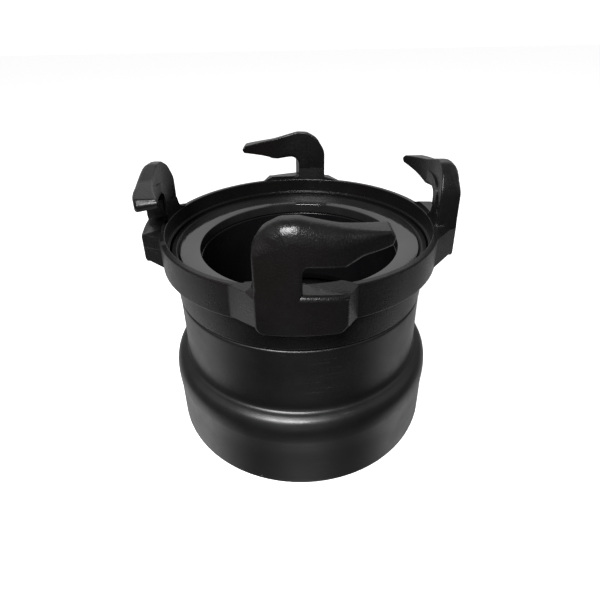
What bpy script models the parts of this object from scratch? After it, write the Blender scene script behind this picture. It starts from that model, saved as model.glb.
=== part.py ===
"""Pipe adapter: grooved male spigot body with a free-turning four-hook bayonet ring.

Four hooks on a ring clamp a mating flange down on a flat rubber face seal.
The ring turns on the neck of a flanged sleeve that is fixed in the adapter body.
Frame: origin at the centre of the bottom face, +Z up the pipe axis, metres.
"""
import math

import bmesh
import bpy
from mathutils import Matrix, Vector

MM = 0.001
SEGMENTS = 64                 # facets round every turned piece

# --- adapter body (male grooved end) -------------------------------------
LIP_R = 45.7                  # 3.600 in outside diameter over the lip
LIP_Z = 18.8                  # height of the widest circle
FOOT_R = 45.3
GROOVE_R = 41.25
BODY_TOP = 48.4
SOCKET_R = 38.2
SLEEVE_SOCKET_R = 37.3
STEP_Z = 26.0

# --- swivel sleeve (flanged neck and spigot) ------------------------------
BORE_R = 32.8
NECK_R = 39.2
SPIGOT_R = 37.0
SPIGOT_END = 27.5
FLANGE_R = 42.2
FLANGE_LOW = 60.9
FLANGE_TOP = 64.3
SEAL_POCKET_R = 39.9
SEAL_POCKET_Z = 62.0
FOOT_POCKET_R = 37.9
FOOT_POCKET_Z = 59.3
O_GROOVE_R = 34.9
O_GROOVE_Z = (36.2, 38.8)

# --- face seal -------------------------------------------------------------
SEAL_IN_R = 33.1
SEAL_OUT_R = 39.35
SEAL_TOP = 63.15
SEAL_FOOT_R = 37.6

# --- spigot O-ring ---------------------------------------------------------
O_CORD = 1.9
O_MID_R = 36.1

# --- hook ring -------------------------------------------------------------
RING_LOW = 49.0
RING_BORE_R = 39.6
SKIRT_R = 41.5
BAND_LOW = 59.9
BAND_R = 45.2
RIM_Z = 70.4
RIM_IN_R = 43.4
LEDGE_Z = 65.1
LEDGE_R = 42.6
SHOULDER_Z = 60.6
HOOKS = 4
HOOK_TURN = math.radians(-2.0)     # the first hook sits 2 degrees short of -Y
HOOK_OUT = 50.5                    # the hooks are sectors of a round wall, this far out
HOOK_IN = 44.4                     # and this far in
STEM_LEFT = (-9.2, -9.8)           # stem sides: on the outer wall, on the inner wall
STEM_RIGHT = (2.4, 1.0)
HOOK_TOP = 90.1
LUG_RIGHT = 13.5
LUG_LOW = 60.4
SLOT_FLOOR = 71.6


def clear():
    for o in list(bpy.data.objects):
        bpy.data.objects.remove(o, do_unlink=True)
    for m in list(bpy.data.meshes):
        bpy.data.meshes.remove(m)


def material(name, colour, roughness, metallic=0.0):
    m = bpy.data.materials.new(name)
    m.use_nodes = True
    b = m.node_tree.nodes["Principled BSDF"]
    b.inputs["Base Color"].default_value = (*colour, 1.0)
    b.inputs["Roughness"].default_value = roughness
    b.inputs["Metallic"].default_value = metallic
    return m


def finish(name, bm, mat=None, guide=False):
    bmesh.ops.recalc_face_normals(bm, faces=bm.faces[:])
    me = bpy.data.meshes.new(name)
    bm.to_mesh(me)
    bm.free()
    o = bpy.data.objects.new(name, me)
    bpy.context.scene.collection.objects.link(o)
    if mat:
        me.materials.append(mat)
    if guide:
        o.hide_render = True
        o.display_type = "WIRE"
    else:
        me.shade_smooth()
        me.set_sharp_from_angle(angle=math.radians(35))
    return o


def turned(name, profile, mat):
    """Spins a closed (radius, height) profile in millimetres round +Z."""
    bm = bmesh.new()
    ring = [bm.verts.new((r * MM, 0.0, z * MM)) for r, z in profile]
    edges = [bm.edges.new((ring[i], ring[(i + 1) % len(ring)])) for i in range(len(ring))]
    bmesh.ops.spin(bm, geom=ring + edges, cent=(0, 0, 0), axis=(0, 0, 1),
                   angle=2 * math.pi, steps=SEGMENTS, use_merge=True)
    bmesh.ops.remove_doubles(bm, verts=bm.verts[:], dist=1e-6)
    return finish(name, bm, mat)


def rounded(corners, steps=3):
    """Polygon corners (a, b, radius) with each corner replaced by an arc of a fixed count of points."""
    out = []
    n = len(corners)
    for i, (x, y, r) in enumerate(corners):
        p = Vector((x, y))
        a = (Vector(corners[i - 1][:2]) - p)
        b = (Vector(corners[(i + 1) % n][:2]) - p)
        if r <= 0:
            out.append((x, y))
            continue
        la, lb = a.length, b.length
        a.normalize()
        b.normalize()
        half = a.angle(b) / 2
        cut = min(r / math.tan(half), la * 0.49, lb * 0.49)
        rr = cut * math.tan(half)
        centre = p + (a + b).normalized() * (rr / math.sin(half))
        s, e = p + a * cut - centre, p + b * cut - centre
        turn = math.atan2(s.x * e.y - s.y * e.x, s.dot(e))
        for j in range(steps + 1):
            c, q = math.cos(turn * j / steps), math.sin(turn * j / steps)
            out.append((centre.x + s.x * c - s.y * q, centre.y + s.x * q + s.y * c))
    return out


def to_hook(k):
    """Matrix from hook space (t, r, z) to the frame, for hook number k."""
    a = -math.pi / 2 + HOOK_TURN + k * 2 * math.pi / HOOKS
    er = Vector((math.cos(a), math.sin(a), 0))
    et = Vector((-math.sin(a), math.cos(a), 0))
    m = Matrix.Identity(4)
    for i in range(3):
        m[i][0], m[i][1] = et[i], er[i]
    return m


def four_times(name, make):
    """One guide object that holds the same solid at each hook."""
    bm = bmesh.new()
    for k in range(HOOKS):
        one = bmesh.new()
        make(one)
        bmesh.ops.transform(one, matrix=to_hook(k), verts=one.verts[:])
        bmesh.ops.scale(one, vec=(MM, MM, MM), verts=one.verts[:])
        bmesh.ops.recalc_face_normals(one, faces=one.faces[:])
        me = bpy.data.meshes.new("part")
        one.to_mesh(me)
        one.free()
        bm.from_mesh(me)
        bpy.data.meshes.remove(me)
    return finish(name, bm, guide=True)


def prism(bm, outline, low, high, axis):
    """Extrudes an outline of 3-D points from low to high along one axis."""
    verts = []
    for p in outline:
        q = list(p)
        q.insert(axis, low)
        verts.append(bm.verts.new(q))
    face = bm.faces.new(verts)
    moved = bmesh.ops.extrude_face_region(bm, geom=[face])
    step = [0.0, 0.0, 0.0]
    step[axis] = high - low
    bmesh.ops.translate(bm, vec=step, verts=[g for g in moved["geom"] if isinstance(g, bmesh.types.BMVert)])
    bmesh.ops.recalc_face_normals(bm, faces=bm.faces[:])


def cut_above(bm, point, normal):
    """Slices away what lies on the normal's side of a plane and caps the cut."""
    geom = bm.verts[:] + bm.edges[:] + bm.faces[:]
    r = bmesh.ops.bisect_plane(bm, geom=geom, plane_co=point, plane_no=normal, clear_outer=True)
    edges = [g for g in r["geom_cut"] if isinstance(g, bmesh.types.BMEdge)]
    bmesh.ops.edgeloop_fill(bm, edges=edges)


def bend(bm, stations):
    """Wraps hook space round the axis: y holds a radius and becomes a distance along r."""
    for t in stations:
        bmesh.ops.bisect_plane(bm, geom=bm.verts[:] + bm.edges[:] + bm.faces[:],
                               plane_co=(t, 0, 0), plane_no=(1, 0, 0))
    for v in bm.verts:
        v.co.y = math.sqrt(v.co.y ** 2 - v.co.x ** 2)
    bmesh.ops.triangulate(bm, faces=bm.faces[:])
    bmesh.ops.recalc_face_normals(bm, faces=bm.faces[:])


def hook_outline(outer):
    """Stem, finger and the front of the lug as (t, z, radius), on the outer or the inner wall."""
    left = STEM_LEFT[0 if outer else 1]
    right = STEM_RIGHT[0 if outer else 1]
    block = [(left, LUG_LOW + 0.1, 2.0), (LUG_RIGHT - 1.6, LUG_LOW + 0.1, 1.2),
             (LUG_RIGHT, LUG_LOW + 1.9, 1.2), (LUG_RIGHT, SLOT_FLOOR - 1.0, 0.0), (right, SLOT_FLOOR - 1.0, 0.0)]
    if outer:
        finger = [(right, 78.9, 1.5), (12.2, 78.3, 1.5), (16.3, 80.6, 4.0), (23.4, 82.1, 0.8),
                  (24.1, 83.9, 1.2), (22.7, 85.8, 0.8), (11.6, 87.4, 12.0)]
    else:
        finger = [(right, 80.3, 3.0), (9.9, 79.3, 1.5), (16.3, 81.3, 4.0), (22.9, 83.1, 0.8),
                  (23.6, 84.7, 1.2), (22.5, 86.6, 0.8), (11.0, 87.9, 12.0)]
    crown = [(1.5, HOOK_TOP, 5.0), (-2.6, HOOK_TOP - 0.2, 4.0), (-6.7, HOOK_TOP - 2.5, 5.0), (left, 82.5, 6.0)]
    return rounded(block + finger + crown)


def hook_plate(bm):
    """Stem, finger and the front of the lug: one sector of round wall between two outlines."""
    inner = [bm.verts.new((t, HOOK_IN, z)) for t, z in hook_outline(False)]
    outer = [bm.verts.new((t, HOOK_OUT, z)) for t, z in hook_outline(True)]
    n = len(inner)
    for i in range(n):
        k = (i + 1) % n
        bm.faces.new((inner[i], inner[k], outer[k], outer[i]))
    bm.faces.new(inner)
    bm.faces.new(list(reversed(outer)))
    bend(bm, (-6.1, -3.1, -0.1, 2.9, 5.9, 8.9, 11.9, 14.9, 17.9, 20.9))


def hook_foot(bm):
    """Ramp and flared fillets where the stem stands on the rim."""
    outline = [(-12.2, 70.2), (-12.0, 70.9), (-9.6, 73.4), (-9.4, 75.1), (0.6, 75.1), (0.8, 73.4), (2.3, 71.2), (2.4, 70.2)]
    prism(bm, outline, RIM_IN_R + 0.1, RIM_IN_R + 3.1, 1)
    for v in bm.verts:
        if v.co.z > 74 and v.co.y < HOOK_IN:
            v.co.y = HOOK_IN - 0.25
    bend(bm, (-6.0, -3.0, 0.0))


def lug(bm):
    """Block that carries the hook: round face, two side facets, back inside the band."""
    back = BAND_R - 0.9
    face = HOOK_OUT - 0.1
    left, right = -17.6, 16.6
    front = [LUG_RIGHT - 0.05, 9.0, 4.5, 0.0, -4.5, STEM_LEFT[0] + 0.05]
    outline = [(right, math.sqrt(back ** 2 - right ** 2) + 0.1)]
    outline += [(t, math.sqrt(face ** 2 - t ** 2)) for t in front]
    outline.append((left, math.sqrt(back ** 2 - left ** 2) + 0.1))
    n = 10
    for i in range(1, n):
        t = left + (right - left) * i / n
        outline.append((t, math.sqrt(back ** 2 - t ** 2)))
    prism(bm, outline, LUG_LOW - 0.3, SLOT_FLOOR + 0.6, 2)
    cut_above(bm, (0, back, SLOT_FLOOR), (0, 0.148, 1.0))               # floor slopes outward
    cut_above(bm, (-17.6, 0, 69.8), (-0.225, 0, 1.0))                   # left top
    cut_above(bm, (16.6, 0, 69.9), (0.42, 0, 1.0))                      # right top
    cut_above(bm, (0, 41.2, LUG_LOW - 0.1), (0, 0.268, -1.0))           # underside of the side facets


def boolean(o, tool, operation):
    m = o.modifiers.new(tool.name, "BOOLEAN")
    m.operation = operation
    m.solver = "EXACT"
    m.object = tool


def build():
    clear()
    shell = material("black_moulded_plastic", (0.013, 0.013, 0.014), 0.42)
    hook_mat = material("black_hook_plastic", (0.016, 0.015, 0.014), 0.5)
    insert_mat = material("black_sleeve_plastic", (0.011, 0.011, 0.012), 0.35)
    rubber = material("black_seal_rubber", (0.010, 0.010, 0.010), 0.12)
    cord = material("black_o_ring_rubber", (0.012, 0.012, 0.012), 0.55)

    turned("adapter_body", [
        (SOCKET_R + 0.6, 0.0), (FOOT_R - 0.5, 0.0), (FOOT_R, 0.6), (FOOT_R + 0.05, 12.9),
        (LIP_R, LIP_Z), (45.65, 21.3), (45.25, 23.2), (44.35, 24.8), (43.1, 25.8),
        (42.0, 26.3), (41.4, 26.9), (GROOVE_R, 27.9), (GROOVE_R + 0.05, BODY_TOP - 0.4),
        (GROOVE_R - 0.35, BODY_TOP), (SLEEVE_SOCKET_R + 0.5, BODY_TOP),
        (SLEEVE_SOCKET_R, BODY_TOP - 0.8), (SLEEVE_SOCKET_R, STEP_Z + 0.9),
        (SOCKET_R, STEP_Z), (SOCKET_R, 0.6)], shell)

    turned("swivel_sleeve", [
        (SPIGOT_R - 0.8, SPIGOT_END), (SPIGOT_R, SPIGOT_END + 1.2), (SPIGOT_R, O_GROOVE_Z[0]),
        (O_GROOVE_R, O_GROOVE_Z[0]), (O_GROOVE_R, O_GROOVE_Z[1]), (SPIGOT_R, O_GROOVE_Z[1]),
        (SPIGOT_R, BODY_TOP + 0.3), (NECK_R, BODY_TOP + 0.3), (NECK_R, FLANGE_LOW),
        (FLANGE_R - 1.2, FLANGE_LOW), (FLANGE_R, FLANGE_LOW + 1.2), (FLANGE_R, FLANGE_TOP - 0.3),
        (FLANGE_R - 0.3, FLANGE_TOP), (SEAL_POCKET_R + 0.5, FLANGE_TOP),
        (SEAL_POCKET_R, FLANGE_TOP - 0.7), (SEAL_POCKET_R, SEAL_POCKET_Z),
        (FOOT_POCKET_R, SEAL_POCKET_Z), (FOOT_POCKET_R, FOOT_POCKET_Z),
        (BORE_R, FOOT_POCKET_Z), (BORE_R, SPIGOT_END + 3.0), (BORE_R + 1.2, SPIGOT_END)], insert_mat)

    turned("face_seal", [
        (SEAL_IN_R, FOOT_POCKET_Z + 0.3), (SEAL_FOOT_R, FOOT_POCKET_Z + 0.3),
        (SEAL_FOOT_R, SEAL_POCKET_Z + 0.25), (SEAL_OUT_R, SEAL_POCKET_Z + 0.25),
        (SEAL_OUT_R, SEAL_TOP - 0.2), (SEAL_OUT_R - 0.2, SEAL_TOP),
        (SEAL_IN_R + 0.3, SEAL_TOP), (SEAL_IN_R, SEAL_TOP - 0.3)], rubber)

    mid = (O_GROOVE_Z[0] + O_GROOVE_Z[1]) / 2
    turned("sleeve_o_ring", [
        (O_MID_R + O_CORD / 2 * math.cos(2 * math.pi * i / 8), mid + O_CORD / 2 * math.sin(2 * math.pi * i / 8))
        for i in range(8)], cord)

    ring = turned("hook_ring", [
        (RING_BORE_R, RING_LOW), (SKIRT_R - 0.3, RING_LOW), (SKIRT_R, RING_LOW + 0.3),
        (SKIRT_R, BAND_LOW), (BAND_R - 0.5, BAND_LOW), (BAND_R - 0.1, BAND_LOW + 0.4),
        (BAND_R + 0.1, RIM_Z - 0.3), (BAND_R - 0.2, RIM_Z), (RIM_IN_R + 0.3, RIM_Z),
        (RIM_IN_R, RIM_Z - 0.3), (RIM_IN_R, LEDGE_Z), (LEDGE_R, LEDGE_Z),
        (LEDGE_R, SHOULDER_Z + 1.4), (LEDGE_R - 1.4, SHOULDER_Z), (RING_BORE_R, SHOULDER_Z)], hook_mat)
    boolean(ring, four_times("lug_blanks", lug), "UNION")
    boolean(ring, four_times("hook_blanks", hook_plate), "UNION")
    boolean(ring, four_times("foot_blanks", hook_foot), "UNION")


build()
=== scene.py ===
import math

import bmesh
import bpy
from mathutils import Matrix, Vector


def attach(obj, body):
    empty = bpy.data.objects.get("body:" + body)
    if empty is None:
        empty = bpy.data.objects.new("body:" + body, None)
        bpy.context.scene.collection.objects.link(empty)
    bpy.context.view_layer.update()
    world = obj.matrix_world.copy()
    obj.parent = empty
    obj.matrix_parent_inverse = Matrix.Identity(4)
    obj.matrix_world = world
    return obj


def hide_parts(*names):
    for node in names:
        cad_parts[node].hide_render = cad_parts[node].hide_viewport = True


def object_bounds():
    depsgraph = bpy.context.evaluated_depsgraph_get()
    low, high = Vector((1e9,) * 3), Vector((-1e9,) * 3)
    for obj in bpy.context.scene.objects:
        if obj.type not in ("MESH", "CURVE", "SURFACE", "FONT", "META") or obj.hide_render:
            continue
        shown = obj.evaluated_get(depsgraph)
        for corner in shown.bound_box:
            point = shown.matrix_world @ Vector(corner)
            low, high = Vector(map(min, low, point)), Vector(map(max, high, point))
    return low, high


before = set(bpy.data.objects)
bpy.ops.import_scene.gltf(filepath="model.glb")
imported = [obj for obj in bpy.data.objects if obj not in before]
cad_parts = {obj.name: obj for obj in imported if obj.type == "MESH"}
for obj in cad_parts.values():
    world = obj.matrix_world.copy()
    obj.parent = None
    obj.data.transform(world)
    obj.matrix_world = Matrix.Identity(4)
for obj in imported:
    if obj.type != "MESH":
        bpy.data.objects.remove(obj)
cad_lo, cad_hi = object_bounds()

MM = 0.001
SEG = 256                      # facets round the turned pieces

# ---------------------------------------------------------------- camera
# Close, a little above the rim and looking down at it.
CAM_AT = Vector((0.0, -0.13413, 0.12630))
PITCH, YAW, ROLL = math.radians(25.474), math.radians(-0.12), math.radians(-1.097)


def make_camera():
    f = Vector((math.sin(YAW) * math.cos(PITCH), math.cos(YAW) * math.cos(PITCH), -math.sin(PITCH)))
    r = f.cross(Vector((0, 0, 1))).normalized()
    u = r.cross(f)
    right = math.cos(ROLL) * r + math.sin(ROLL) * u
    up = -math.sin(ROLL) * r + math.cos(ROLL) * u
    m = Matrix((right, up, -f)).transposed().to_4x4()
    m.translation = CAM_AT
    data = bpy.data.cameras.new("camera")
    cam = bpy.data.objects.new("camera", data)
    bpy.context.scene.collection.objects.link(cam)
    cam.matrix_world = m
    data.sensor_width = 36.0
    data.lens = 432.26 / 603.0 * 36.0
    data.shift_x = (300.0 - 298.0) / 603.0
    data.shift_y = (240.0 - 301.5) / 603.0
    data.clip_start = 0.005
    data.clip_end = 20.0
    bpy.context.scene.camera = cam


# ---------------------------------------------------------------- materials
class Nodes:
    def __init__(self, name):
        self.mat = bpy.data.materials.new(name)
        self.mat.use_nodes = True
        self.tree = self.mat.node_tree
        self.bsdf = self.tree.nodes["Principled BSDF"]

    def new(self, kind, **props):
        n = self.tree.nodes.new(kind)
        for k, v in props.items():
            setattr(n, k, v)
        return n

    def link(self, a, b):
        self.tree.links.new(a, b)

    def math(self, op, a, b=None, c=None, clamp=False):
        n = self.new("ShaderNodeMath", operation=op, use_clamp=clamp)
        for i, v in enumerate((a, b, c)):
            if v is None:
                continue
            if isinstance(v, (int, float)):
                n.inputs[i].default_value = v
            else:
                self.link(v, n.inputs[i])
        return n.outputs[0]

    def coords(self, scale=(1, 1, 1)):
        t = self.new("ShaderNodeTexCoord")
        m = self.new("ShaderNodeMapping")
        m.inputs["Scale"].default_value = scale
        self.link(t.outputs["Object"], m.inputs["Vector"])
        return m.outputs[0]

    def noise(self, vec, scale, detail=4.0, rough=0.55):
        n = self.new("ShaderNodeTexNoise")
        n.inputs["Scale"].default_value = scale
        n.inputs["Detail"].default_value = detail
        n.inputs["Roughness"].default_value = rough
        self.link(vec, n.inputs["Vector"])
        return n.outputs["Fac"]

    def ramp(self, fac, stops):
        n = self.new("ShaderNodeValToRGB")
        e = n.color_ramp.elements
        while len(e) < len(stops):
            e.new(0.5)
        for i, (p, c) in enumerate(stops):
            e[i].position = p
            e[i].color = (c, c, c, 1) if isinstance(c, (int, float)) else (*c, 1)
        self.link(fac, n.inputs["Fac"])
        return n.outputs["Color"]

    def remap(self, fac, a, b, lo, hi):
        n = self.new("ShaderNodeMapRange")
        for i, v in ((1, a), (2, b), (3, lo), (4, hi)):
            n.inputs[i].default_value = v
        self.link(fac, n.inputs[0])
        return n.outputs[0]

    def mix(self, fac, a, b):
        n = self.new("ShaderNodeMix", data_type="RGBA")
        if isinstance(fac, (int, float)):
            n.inputs[0].default_value = fac
        else:
            self.link(fac, n.inputs[0])
        for i, v in ((6, a), (7, b)):
            if isinstance(v, tuple):
                n.inputs[i].default_value = (*v, 1)
            else:
                self.link(v, n.inputs[i])
        return n.outputs[2]


def moulded_plastic(name, dark, light, rough=(0.30, 0.42), grain=2600.0, grain_depth=0.00002,
                    dust=0.5, scratch=0.5, tint=None, speckle=0.12, relief=0.35):
    """Black injection-moulded plastic: fine moulded grain, cloudy gloss, dust specks and hairline scratches."""
    n = Nodes(name)
    c = n.coords()
    cloud = n.noise(c, 55.0, 5.0, 0.6)
    fine = n.noise(c, grain, 2.0, 0.6)
    base = n.mix(n.remap(cloud, 0.35, 0.68, 0.0, 1.0), dark, light)
    base = n.mix(n.remap(fine, 0.46, 0.72, 0.0, speckle), base, (0.020, 0.020, 0.020))
    if tint:
        warm = n.noise(c, 26.0, 3.0, 0.5)
        base = n.mix(n.remap(warm, 0.48, 0.70, 0.0, 0.6), base, tint)
    # specks of dust and tiny chips
    v = n.new("ShaderNodeTexVoronoi")
    v.inputs["Scale"].default_value = 310.0
    n.link(c, v.inputs["Vector"])
    pick = n.new("ShaderNodeSeparateColor")
    n.link(v.outputs["Color"], pick.inputs[0])
    rare = n.math("GREATER_THAN", pick.outputs[0], 0.975)
    size = n.math("MULTIPLY_ADD", pick.outputs[1], 0.10, 0.03)
    dot = n.math("LESS_THAN", v.outputs["Distance"], size)
    speck = n.math("MULTIPLY", n.math("MULTIPLY", rare, dot), dust)
    base = n.mix(speck, base, (0.20, 0.195, 0.185))
    # hairline scratches: thin bands of stretched noise, kept to patches
    s1 = n.noise(n.coords((30, 30, 900)), 1.0, 2.0, 0.4)
    patch = n.remap(n.noise(c, 38.0, 2.0), 0.54, 0.66, 0.0, 1.0)
    line1 = n.math("LESS_THAN", n.math("ABSOLUTE", n.math("SUBTRACT", s1, 0.60)), 0.0035)
    lines = n.math("MULTIPLY", line1, patch)
    lines = n.math("MULTIPLY", lines, scratch)
    base = n.mix(n.math("MULTIPLY", lines, 0.35), base, (0.10, 0.10, 0.10))
    n.link(base, n.bsdf.inputs["Base Color"])
    # gloss: cloudy, a little rougher where it is scratched or dusty
    r = n.remap(n.noise(c, 140.0, 6.0, 0.65), 0.3, 0.72, rough[0], rough[1])
    r = n.math("ADD", r, n.math("MULTIPLY", n.math("MAXIMUM", lines, speck), 0.25), clamp=True)
    n.link(r, n.bsdf.inputs["Roughness"])
    n.bsdf.inputs["IOR"].default_value = 1.49
    # relief: grain, a slow moulding ripple, scratches cut in
    b1 = n.new("ShaderNodeBump")
    b1.inputs["Strength"].default_value = relief
    b1.inputs["Distance"].default_value = grain_depth
    n.link(fine, b1.inputs["Height"])
    b2 = n.new("ShaderNodeBump")
    b2.inputs["Strength"].default_value = 0.25
    b2.inputs["Distance"].default_value = 0.0006
    n.link(n.noise(c, 34.0, 1.0, 0.4), b2.inputs["Height"])
    n.link(b1.outputs[0], b2.inputs["Normal"])
    b3 = n.new("ShaderNodeBump")
    b3.invert = True
    b3.inputs["Strength"].default_value = 0.5
    b3.inputs["Distance"].default_value = 0.00004
    n.link(lines, b3.inputs["Height"])
    n.link(b2.outputs[0], b3.inputs["Normal"])
    n.link(b3.outputs[0], n.bsdf.inputs["Normal"])
    return n.mat


def seal_rubber(name, dark, light, rough):
    """Smooth black seal rubber with a faint turned bloom and a few scuffs."""
    n = Nodes(name)
    c = n.coords()
    # distance from the pipe axis, for the faint concentric bloom
    sep = n.new("ShaderNodeSeparateXYZ")
    n.link(c, sep.inputs[0])
    rad = n.math("SQRT", n.math("ADD", n.math("POWER", sep.outputs[0], 2.0), n.math("POWER", sep.outputs[1], 2.0)))
    rings = n.math("SINE", n.math("MULTIPLY", rad, 9500.0))
    cloud = n.noise(c, 90.0, 5.0, 0.6)
    base = n.mix(n.remap(cloud, 0.35, 0.70, 0.0, 1.0), dark, light)
    n.link(base, n.bsdf.inputs["Base Color"])
    scuff = n.remap(n.noise(n.coords((320, 320, 320)), 1.0, 4.0, 0.7), 0.62, 0.74, 0.0, 0.16)
    r = n.remap(cloud, 0.3, 0.72, rough[0], rough[1])
    n.link(n.math("ADD", r, scuff), n.bsdf.inputs["Roughness"])
    n.bsdf.inputs["IOR"].default_value = 1.52
    b = n.new("ShaderNodeBump")
    b.inputs["Strength"].default_value = 0.10
    b.inputs["Distance"].default_value = 0.00001
    n.link(rings, b.inputs["Height"])
    b2 = n.new("ShaderNodeBump")
    b2.inputs["Strength"].default_value = 0.2
    b2.inputs["Distance"].default_value = 0.00003
    n.link(n.noise(c, 1800.0, 3.0, 0.6), b2.inputs["Height"])
    n.link(b.outputs[0], b2.inputs["Normal"])
    n.link(b2.outputs[0], n.bsdf.inputs["Normal"])
    return n.mat


# ---------------------------------------------------------------- mesh helpers
def rounded(corners, step=math.radians(9), max_len=None):
    """Polygon corners (a, b, radius) with each corner replaced by a fine arc."""
    out = []
    n = len(corners)
    for i, (x, y, r) in enumerate(corners):
        p = Vector((x, y))
        a = Vector(corners[i - 1][:2]) - p
        b = Vector(corners[(i + 1) % n][:2]) - p
        if r <= 0:
            out.append((x, y))
            continue
        la, lb = a.length, b.length
        a.normalize()
        b.normalize()
        half = a.angle(b) / 2
        cut = min(r / math.tan(half), la * 0.495, lb * 0.495)
        rr = cut * math.tan(half)
        centre = p + (a + b).normalized() * (rr / math.sin(half))
        s, e = p + a * cut - centre, p + b * cut - centre
        turn = math.atan2(s.x * e.y - s.y * e.x, s.dot(e))
        k = max(2, int(abs(turn) / step) + 1)
        for j in range(k + 1):
            c, q = math.cos(turn * j / k), math.sin(turn * j / k)
            out.append((centre.x + s.x * c - s.y * q, centre.y + s.x * q + s.y * c))
    if max_len:
        fine = []
        for i, p in enumerate(out):
            q = out[(i + 1) % len(out)]
            d = math.dist(p, q)
            k = max(1, int(math.ceil(d / max_len)))
            for j in range(k):
                fine.append((p[0] + (q[0] - p[0]) * j / k, p[1] + (q[1] - p[1]) * j / k))
        out = fine
    return out


def spline(points, per=6):
    """Catmull-Rom curve through open (r, z) points."""
    out = []
    p = [points[0]] + list(points) + [points[-1]]
    for i in range(1, len(p) - 2):
        for j in range(per):
            t = j / per
            q = []
            for k in (0, 1):
                a, b, c, d = p[i - 1][k], p[i][k], p[i + 1][k], p[i + 2][k]
                q.append(0.5 * (2 * b + (c - a) * t + (2 * a - 5 * b + 4 * c - d) * t * t + (3 * b - a - 3 * c + d) * t ** 3))
            out.append(tuple(q))
    out.append(points[-1])
    return out


def as_object(name, bm, mat=None, smooth=40):
    bmesh.ops.recalc_face_normals(bm, faces=bm.faces[:])
    me = bpy.data.meshes.new(name)
    bm.to_mesh(me)
    bm.free()
    o = bpy.data.objects.new(name, me)
    bpy.context.scene.collection.objects.link(o)
    if mat:
        me.materials.append(mat)
    if smooth:
        me.shade_smooth()
        me.set_sharp_from_angle(angle=math.radians(smooth))
    return o


def spin(profile, segments=SEG):
    bm = bmesh.new()
    loop = [bm.verts.new((r * MM, 0.0, z * MM)) for r, z in profile]
    edges = [bm.edges.new((loop[i], loop[(i + 1) % len(loop)])) for i in range(len(loop))]
    bmesh.ops.spin(bm, geom=loop + edges, cent=(0, 0, 0), axis=(0, 0, 1),
                   angle=2 * math.pi, steps=segments, use_merge=True)
    bmesh.ops.remove_doubles(bm, verts=bm.verts[:], dist=1e-6)
    return bm


def turned(name, corners, mat, smooth=40):
    return as_object(name, spin(rounded(corners, step=math.radians(18))), mat, smooth)


def apply_modifiers(o):
    dg = bpy.context.evaluated_depsgraph_get()
    me = bpy.data.meshes.new_from_object(o.evaluated_get(dg))
    o.modifiers.clear()
    old = o.data
    o.data = me
    bpy.data.meshes.remove(old)


def combine(o, tool, operation):
    m = o.modifiers.new("cut", "BOOLEAN")
    m.operation = operation
    m.solver = "EXACT"
    m.object = tool
    bpy.context.view_layer.update()
    apply_modifiers(o)
    me = tool.data
    bpy.data.objects.remove(tool)
    bpy.data.meshes.remove(me)


# ---------------------------------------------------------------- adapter body
def adapter_body(mat):
    outer = spline([(45.3, 0.9), (45.33, 6.0), (45.38, 12.9), (45.55, 16.4), (45.7, 18.8), (45.6, 21.2),
                    (45.2, 23.1), (44.3, 24.7), (43.1, 25.65), (42.05, 26.15), (41.5, 26.75), (41.26, 27.8),
                    (41.22, 30.0), (41.22, 34.0), (41.22, 38.0), (41.24, 43.0), (41.3, 47.8)], 5)
    outer = [(min(r, 45.7), z) for r, z in outer]
    prof = [(38.9, 0.0), (44.6, 0.0), (44.95, 0.12), (45.2, 0.42)] + outer
    prof += [(41.22, 48.1), (41.02, 48.33), (40.75, 48.4), (38.0, 48.4), (37.6, 48.2), (37.3, 47.6)]
    prof += [(37.3, 27.2), (37.45, 26.7), (38.1, 26.1), (38.2, 25.6), (38.2, 0.9), (38.35, 0.35), (38.6, 0.1)]
    o = as_object("adapter_body_moulding", spin(prof), mat, 50)
    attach(o, "adapter")
    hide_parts("adapter_body")


# ---------------------------------------------------------------- swivel sleeve
def swivel_sleeve(mat):
    o = turned("swivel_sleeve_moulding", [
        (36.2, 27.5, 0.2), (37.0, 28.7, 0.4), (37.0, 36.2, 0.15), (34.9, 36.2, 0.2), (34.9, 38.8, 0.2), (37.0, 38.8, 0.15),
        (37.0, 48.7, 0.2), (39.2, 48.7, 0.25), (39.2, 60.9, 0.3), (41.0, 60.9, 0.3), (42.2, 62.1, 0.3), (42.2, 64.3, 0.35),
        (40.55, 64.3, 0.3), (39.9, 63.6, 0.2), (39.9, 62.0, 0.2), (37.9, 62.0, 0.2), (37.9, 59.3, 0.2),
        (32.8, 59.3, 0.45), (32.8, 30.5, 1.5), (34.0, 27.5, 0.3)], mat)
    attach(o, "adapter")
    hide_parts("swivel_sleeve")


def face_seal(mat):
    o = turned("face_seal_rubber", [
        (33.1, 59.6, 0.2), (37.6, 59.6, 0.3), (37.6, 62.25, 0.2), (39.75, 62.25, 0.2), (39.75, 63.95, 0.2),
        (33.1, 62.95, 0.35)], mat)
    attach(o, "adapter")
    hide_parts("face_seal")


def sleeve_o_ring(mat):
    prof = [(36.1 + 0.95 * math.cos(2 * math.pi * i / 24), 37.5 + 0.95 * math.sin(2 * math.pi * i / 24)) for i in range(24)]
    o = as_object("sleeve_o_ring_rubber", spin(prof, 192), mat, 60)
    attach(o, "adapter")
    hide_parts("sleeve_o_ring")


# ---------------------------------------------------------------- hook ring
TURN = math.radians(-2.0)
OUT_R, IN_R = 50.45, 44.4      # the hooks are sectors of a round wall
LEFT, RIGHT = (-9.2, -9.8), (2.4, 1.0)
LOW, FLOOR, TOP = 60.4, 71.6, 90.03


def hook_matrix(k):
    a = -math.pi / 2 + TURN + k * math.pi / 2
    m = Matrix.Identity(4)
    for i, (t, r) in enumerate(((-math.sin(a), math.cos(a)), (math.cos(a), math.sin(a)), (0, 0))):
        m[i][0], m[i][1] = t, r
    m[2][2] = 1.0
    return m


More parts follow.
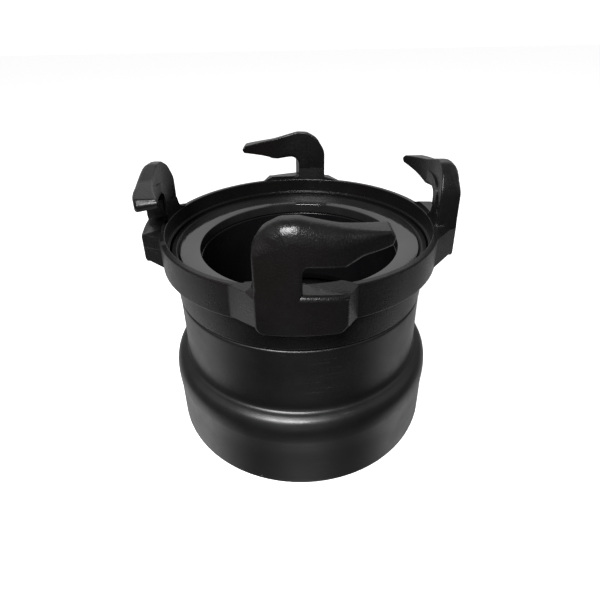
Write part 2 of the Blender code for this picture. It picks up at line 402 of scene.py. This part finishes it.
def four_hooks(name, make):
    bm = bmesh.new()
    for k in range(4):
        one = make()
        bmesh.ops.transform(one, matrix=hook_matrix(k), verts=one.verts[:])
        bmesh.ops.scale(one, vec=(MM, MM, MM), verts=one.verts[:])
        bmesh.ops.recalc_face_normals(one, faces=one.faces[:])
        me = bpy.data.meshes.new("one")
        one.to_mesh(me)
        one.free()
        bm.from_mesh(me)
        bpy.data.meshes.remove(me)
    return as_object(name, bm, smooth=None)


def smoothstep(x, a, b):
    x = max(0.0, min(1.0, (x - a) / (b - a)))
    return x * x * (3 - 2 * x)


def arc_corners(corners, steps):
    """Rounded polygon with a fixed count of points at each corner, and which side each point starts."""
    out = []
    n = len(corners)
    for i, (x, y, r) in enumerate(corners):
        p = Vector((x, y))
        a = Vector(corners[i - 1][:2]) - p
        b = Vector(corners[(i + 1) % n][:2]) - p
        if r <= 0:
            out.append([p.copy()])
            continue
        la, lb = a.length, b.length
        a.normalize()
        b.normalize()
        half = a.angle(b) / 2
        cut = min(r / math.tan(half), la * 0.495, lb * 0.495)
        rr = cut * math.tan(half)
        centre = p + (a + b).normalized() * (rr / math.sin(half))
        s, e = p + a * cut - centre, p + b * cut - centre
        turn = math.atan2(s.x * e.y - s.y * e.x, s.dot(e))
        out.append([centre + Vector((s.x * math.cos(turn * j / steps) - s.y * math.sin(turn * j / steps),
                                     s.x * math.sin(turn * j / steps) + s.y * math.cos(turn * j / steps)))
                    for j in range(steps + 1)])
    return out


def hook_corners(outer):
    left = LEFT[0 if outer else 1]
    right = RIGHT[0 if outer else 1]
    block = [(left, LOW + 0.1, 2.2), (11.8, LOW + 0.1, 1.5), (13.5, LOW + 2.0, 1.5),
             (13.5, 70.95, 0.0), (right, 71.75, 0.0)]
    if outer:
        finger = [(right, 78.9, 1.6), (12.2, 78.3, 2.2), (16.3, 80.6, 5.0), (23.3, 82.1, 1.0),
                  (24.1, 83.9, 1.4), (22.7, 85.8, 1.0), (11.6, 87.4, 14.0)]
    else:
        finger = [(right, 80.3, 3.4), (9.9, 79.3, 2.2), (16.3, 81.3, 5.0), (22.9, 83.1, 1.0),
                  (23.6, 84.7, 1.4), (22.5, 85.8, 1.0), (11.0, 87.5, 14.0)]
    crown = [(1.5, TOP, 5.5), (-2.6, TOP - 0.2, 4.5), (-6.7, TOP - 2.5, 6.0), (left, 82.5, 7.0)]
    return block + finger + crown


def paired_outlines():
    """The outer and the inner outline with matching points, straight runs split alike."""
    both = [arc_corners(hook_corners(side), 7) for side in (True, False)]
    n = len(both[0])
    loops = [[], []]
    for i in range(n):
        gap = (both[0][(i + 1) % n][0] - both[0][i][-1]).length
        k = max(1, int(math.ceil(gap / 0.8)))
        for side in (0, 1):
            loops[side] += both[side][i]
            a, b = both[side][i][-1], both[side][(i + 1) % n][0]
            loops[side] += [a + (b - a) * (j / k) for j in range(1, k)]
    return loops


def inward_offsets(pts):
    n = len(pts)
    area2 = sum(pts[i].x * pts[(i + 1) % n].y - pts[(i + 1) % n].x * pts[i].y for i in range(n))
    sign = 1.0 if area2 > 0 else -1.0
    out = []
    for i in range(n):
        a, b = (pts[i] - pts[i - 1]).normalized(), (pts[(i + 1) % n] - pts[i]).normalized()
        m = (Vector((-a.y, a.x)) + Vector((-b.y, b.x))) * sign
        out.append(m / max(0.7, m.length_squared / 2.0))
    return out


def bend(bm, low, high, step):
    """Wraps hook space round the axis: y holds a radius and becomes a distance along r."""
    t = low
    while t < high:
        bmesh.ops.bisect_plane(bm, geom=bm.verts[:] + bm.edges[:] + bm.faces[:],
                               plane_co=(t, 0, 0), plane_no=(1, 0, 0))
        t += step
    for v in bm.verts:
        v.co.y = math.sqrt(v.co.y ** 2 - v.co.x ** 2)
    bmesh.ops.triangulate(bm, faces=[f for f in bm.faces if len(f.verts) > 4])


def edge_round(p):
    """How far the outer edge is rounded, along the face and through the wall, at an outline point."""
    if p.y < 72.0 and p.x > 2.2 and p.y > 70.6:
        return 1.4, 1.4                                   # soft front of the slot floor
    if p.y < 72.0:
        return 0.5, 0.5
    crown = smoothstep(p.y, 81.0, 87.0) * (1.0 - smoothstep(p.x, 7.0, 25.0))
    under = smoothstep(p.x, 2.0, 3.2) * (1.0 - smoothstep(p.y, 82.2, 83.5)) * (1.0 - smoothstep(p.x, 16.0, 22.0))
    r = 0.65 + 0.55 * under + 0.3 * (p.x < -8.5)
    return r + 4.4 * crown, r + 3.2 * crown


def hook_plate():
    """Stem, finger and the front of the lug: a sector of round wall with a full round along its crown."""
    outer, inner = paired_outlines()
    to_out, to_in = inward_offsets(outer), inward_offsets(inner)
    n = len(outer)
    bm = bmesh.new()
    steps = 6
    loops = []
    for j in range(steps + 1):
        f = math.pi / 2 * j / steps
        loops.append([bm.verts.new((p.x + q.x * 0.5 * (1 - math.sin(f)), IN_R + 0.5 * (1 - math.cos(f)),
                                    p.y + q.y * 0.5 * (1 - math.sin(f)))) for p, q in zip(inner, to_in)])
    for j in range(steps, -1, -1):
        f = math.pi / 2 * j / steps
        ring = []
        for p, q in zip(outer, to_out):
            a, b = edge_round(p)
            ring.append(bm.verts.new((p.x + q.x * a * (1 - math.sin(f)), OUT_R - b * (1 - math.cos(f)),
                                      p.y + q.y * a * (1 - math.sin(f)))))
        loops.append(ring)
    for a, b in zip(loops, loops[1:]):
        for i in range(n):
            k = (i + 1) % n
            bm.faces.new((a[i], a[k], b[k], b[i]))
    bm.faces.new(loops[0])
    bm.faces.new(list(reversed(loops[-1])))
    bend(bm, -8.9, 23.6, 1.2)
    return bm


def cut_above(bm, point, normal):
    geom = bm.verts[:] + bm.edges[:] + bm.faces[:]
    r = bmesh.ops.bisect_plane(bm, geom=geom, plane_co=point, plane_no=normal, clear_outer=True)
    bmesh.ops.edgeloop_fill(bm, edges=[g for g in r["geom_cut"] if isinstance(g, bmesh.types.BMEdge)])


def prism(outline, low, high, axis):
    bm = bmesh.new()
    verts = []
    for p in outline:
        q = list(p)
        q.insert(axis, low)
        verts.append(bm.verts.new(q))
    face = bm.faces.new(verts)
    moved = bmesh.ops.extrude_face_region(bm, geom=[face])
    step = [0.0, 0.0, 0.0]
    step[axis] = high - low
    bmesh.ops.translate(bm, vec=step, verts=[g for g in moved["geom"] if isinstance(g, bmesh.types.BMVert)])
    bmesh.ops.recalc_face_normals(bm, faces=bm.faces[:])
    return bm


def lug():
    """Block that carries the hook, its edges rounded; its curved back is buried in the band."""
    back = 44.3
    face = OUT_R - 0.2
    left, right = -17.6, 16.6
    front = [13.45] + [13.45 - 22.6 * i / 14 for i in range(1, 14)] + [LEFT[0] + 0.05]
    outline = [(right, math.sqrt(back ** 2 - right ** 2) + 0.1)]
    outline += [(t, math.sqrt(face ** 2 - t ** 2)) for t in front]
    outline.append((left, math.sqrt(back ** 2 - left ** 2) + 0.1))
    for i in range(1, 16):
        t = left + (right - left) * i / 16
        outline.append((t, math.sqrt(back ** 2 - t ** 2)))
    bm = prism(outline, LOW - 0.3, FLOOR + 0.6, 2)
    cut_above(bm, (0, back, FLOOR), (0, 0.148, 1.0))
    cut_above(bm, (0, 47.4, 71.05), (0, 0.27, 1.0))
    cut_above(bm, (-17.6, 0, 69.8), (-0.225, 0, 1.0))
    cut_above(bm, (16.6, 0, 69.9), (0.42, 0, 1.0))
    cut_above(bm, (0, 41.2, LOW - 0.1), (0, 0.268, -1.0))
    edges = []
    for e in bm.edges:
        a, b = e.verts[0].co, e.verts[1].co
        ra, rb = math.hypot(a.x, a.y), math.hypot(b.x, b.y)
        if len(e.link_faces) == 2 and e.calc_face_angle(0) > math.radians(12) and (ra > back + 0.6 or rb > back + 0.6):
            edges.append(e)
    bmesh.ops.bevel(bm, geom=edges, offset=0.4, segments=3, profile=0.5, affect="EDGES", clamp_overlap=True)
    return bm


def hook_foot():
    """Ramp and flared fillets where the stem stands on the rim."""
    outline = [tuple(p) for c in arc_corners([
        (-12.6, 70.0, 0.0), (-12.3, 70.8, 0.0), (-9.5, 71.5, 2.4), (-9.35, 75.1, 0.3), (0.6, 75.1, 0.3),
        (0.75, 71.7, 1.8), (2.9, 71.3, 0.0), (3.0, 70.0, 0.0)], 6) for p in c]
    bm = prism(outline, 43.5, 46.5, 1)
    for v in bm.verts:
        if v.co.y < 45:
            v.co.y += 0.68 * smoothstep(v.co.z, 70.5, 75.1)
    bend(bm, -12.0, 2.5, 1.2)
    return bm


def finger_pad():
    """Slightly raised inner face of the finger; its edge sweeps in an arc across the stem."""
    arc = spline([(-3.75, 75.2), (-3.3, 77.4), (-2.4, 80.6), (-0.2, 82.8), (2.2, 83.8), (4.8, 84.2)], 6)
    outline = [tuple(p) for p in arc] + [(10.5, 84.5), (10.5, 80.2), (5.0, 81.1), (3.2, 80.9), (1.2, 79.8), (0.45, 78.2), (0.45, 75.2)]
    bm = prism(outline, IN_R - 0.5, IN_R + 0.8, 1)
    for v in bm.verts:
        if v.co.y < IN_R:
            v.co.y += 0.085 * max(0.0, v.co.x - 3.0)
    bend(bm, -3.0, 10.4, 1.2)
    return bm


def hook_ring(mat):
    prof = rounded([
        (39.6, 49.0, 0.25), (41.5, 49.0, 0.45), (41.5, 59.9, 0.3), (45.1, 59.9, 0.55), (45.3, 70.4, 0.45),
        (43.4, 70.4, 0.35), (43.4, 65.1, 0.25), (42.6, 65.1, 0.2), (42.6, 62.0, 0.3), (41.2, 60.6, 0.3),
        (39.6, 60.6, 0.3)], step=math.radians(18))
    ring = as_object("hook_ring_moulding", spin(prof), mat, None)
    combine(ring, four_hooks("lugs", lug), "UNION")
    combine(ring, four_hooks("hooks", hook_plate), "UNION")
    combine(ring, four_hooks("feet", hook_foot), "UNION")
    combine(ring, four_hooks("pads", finger_pad), "UNION")
    me = ring.data
    me.shade_smooth()
    me.set_sharp_from_angle(angle=math.radians(32))
    w = ring.modifiers.new("even_faces", "WEIGHTED_NORMAL")
    w.keep_sharp = True
    w.weight = 60
    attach(ring, "bayonet_ring")
    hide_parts("hook_ring")


# ---------------------------------------------------------------- stage and light
def stage():
    """Pale seamless floor that reads as white paper, with a soft contact shadow."""
    me = bpy.data.meshes.new("floor")
    bm = bmesh.new()
    bmesh.ops.create_grid(bm, x_segments=1, y_segments=1, size=4.0)
    bm.to_mesh(me)
    bm.free()
    floor = bpy.data.objects.new("floor", me)
    floor.location = (0, 0, cad_lo.z - 0.0001)
    bpy.context.scene.collection.objects.link(floor)
    n = Nodes("floor_paper")
    n.bsdf.inputs["Base Color"].default_value = (0.85, 0.85, 0.85, 1)
    n.bsdf.inputs["Roughness"].default_value = 1.0
    n.bsdf.inputs["Specular IOR Level"].default_value = 0.0
    n.bsdf.inputs["Emission Color"].default_value = (1, 1, 1, 1)
    n.bsdf.inputs["Emission Strength"].default_value = 0.72
    me.materials.append(n.mat)
    floor.visible_glossy = False
    floor.visible_diffuse = False
    floor.visible_shadow = False
    # painted shade: a black disc under the foot stands in for the full shade on the floor inside it
    me = bpy.data.meshes.new("painted_shade_disc")
    bm = bmesh.new()
    bmesh.ops.create_circle(bm, cap_ends=True, segments=96, radius=0.043)
    bm.to_mesh(me)
    bm.free()
    shade = bpy.data.objects.new("painted_shade_disc", me)
    shade.location = (0, 0, cad_lo.z - 0.00005)
    bpy.context.scene.collection.objects.link(shade)
    n = Nodes("painted_shade_black")
    # near-black base colour: painted shade seen down the bore
    n.bsdf.inputs["Base Color"].default_value = (0.01, 0.01, 0.01, 1)
    n.bsdf.inputs["Roughness"].default_value = 1.0
    n.bsdf.inputs["Specular IOR Level"].default_value = 0.0
    me.materials.append(n.mat)


def area(name, at, to, size, power, colour=(1, 1, 1)):
    d = bpy.data.lights.new(name, "AREA")
    d.shape = "RECTANGLE"
    d.size, d.size_y = size
    d.energy = power
    d.color = colour
    o = bpy.data.objects.new(name, d)
    o.location = at
    o.rotation_mode = "QUATERNION"
    o.rotation_quaternion = (Vector(to) - Vector(at)).to_track_quat("-Z", "Y")
    bpy.context.scene.collection.objects.link(o)


def studio():
    """Soft tent: bright behind and at the sides, dim where the camera stands, one overhead panel."""
    world = bpy.data.worlds.new("studio")
    bpy.context.scene.world = world
    world.use_nodes = True
    t = world.node_tree
    bg = t.nodes["Background"]
    bg.inputs["Color"].default_value = (1, 1, 1, 1)
    coord = t.nodes.new("ShaderNodeTexCoord")

    def node(op, a, b=None, clamp=False):
        n = t.nodes.new("ShaderNodeMath")
        n.operation = op
        n.use_clamp = clamp
        for i, v in enumerate((a, b)):
            if v is None:
                continue
            if isinstance(v, (int, float)):
                n.inputs[i].default_value = v
            else:
                t.links.new(v, n.inputs[i])
        return n.outputs[0]

    total = 0.0
    for azimuth, elevation, spread, strength in PANELS:
        a, e = math.radians(azimuth), math.radians(elevation)
        d = t.nodes.new("ShaderNodeVectorMath")
        d.operation = "DOT_PRODUCT"
        t.links.new(coord.outputs["Generated"], d.inputs[0])
        d.inputs[1].default_value = (math.sin(a) * math.cos(e), math.cos(a) * math.cos(e), math.sin(e))
        k = 0.7 / (1 - math.cos(math.radians(spread)))
        glow = node("MULTIPLY", node("EXPONENT", node("MULTIPLY", node("SUBTRACT", d.outputs["Value"], 1.0), k)), strength)
        total = node("ADD", glow, total)
    total = node("ADD", total, AMBIENT)
    path = t.nodes.new("ShaderNodeLightPath")
    seen = node("MULTIPLY", path.outputs["Is Camera Ray"], 1.1)
    unseen = node("MULTIPLY", total, node("SUBTRACT", 1.0, path.outputs["Is Camera Ray"]))
    t.links.new(node("ADD", seen, unseen), bg.inputs["Strength"])
    area("overhead", (-0.10, -0.38, 0.44), (0, -0.03, 0.08), (0.24, 0.15), 5.5)
    bpy.context.scene.view_settings.view_transform = "Standard"


# azimuth (0 behind the object, 90 right, 180 at the camera), elevation, half-width, brightness
PANELS = [
    (0, 34, 26, 0.87), (0, 5, 30, 0.20),
    (-42, -32, 26, 0.50), (42, -32, 26, 0.42),
    (-80, -50, 14, 1.05), (82, -50, 12, 0.90),
    (-95, 38, 20, 0.60), (95, 38, 20, 0.55), (180, 4, 12, 0.55),
    (180, -68, 11, 1.05), (-172, -4, 10, 0.5),
]
AMBIENT = 0.04

make_camera()
body_mat = moulded_plastic("body_plastic", (0.003, 0.003, 0.0035), (0.006, 0.006, 0.0065), rough=(0.30, 0.40),
                           grain=2400.0, grain_depth=0.00004, relief=0.5)
sleeve_mat = moulded_plastic("sleeve_plastic", (0.003, 0.003, 0.0035), (0.005, 0.005, 0.0055), rough=(0.22, 0.34), dust=0.3,
                             speckle=0.06)
sleeve_mat.node_tree.nodes["Principled BSDF"].inputs["Specular IOR Level"].default_value = 0.25
ring_mat = moulded_plastic("ring_plastic", (0.0025, 0.0025, 0.0025), (0.0045, 0.0045, 0.0045), rough=(0.24, 0.36),
                           grain=2100.0, grain_depth=0.00009, tint=(0.0060, 0.0042, 0.0040), speckle=0.16, relief=0.9)
ring_mat.node_tree.nodes["Principled BSDF"].inputs["Specular IOR Level"].default_value = 0.36
seal_mat = seal_rubber("seal_rubber", (0.010, 0.010, 0.010), (0.016, 0.016, 0.016), (0.05, 0.10))
cord_mat = seal_rubber("o_ring_rubber", (0.008, 0.008, 0.008), (0.014, 0.014, 0.014), (0.40, 0.55))
adapter_body(body_mat)
swivel_sleeve(sleeve_mat)
face_seal(seal_mat)
sleeve_o_ring(cord_mat)
hook_ring(ring_mat)
stage()
studio()
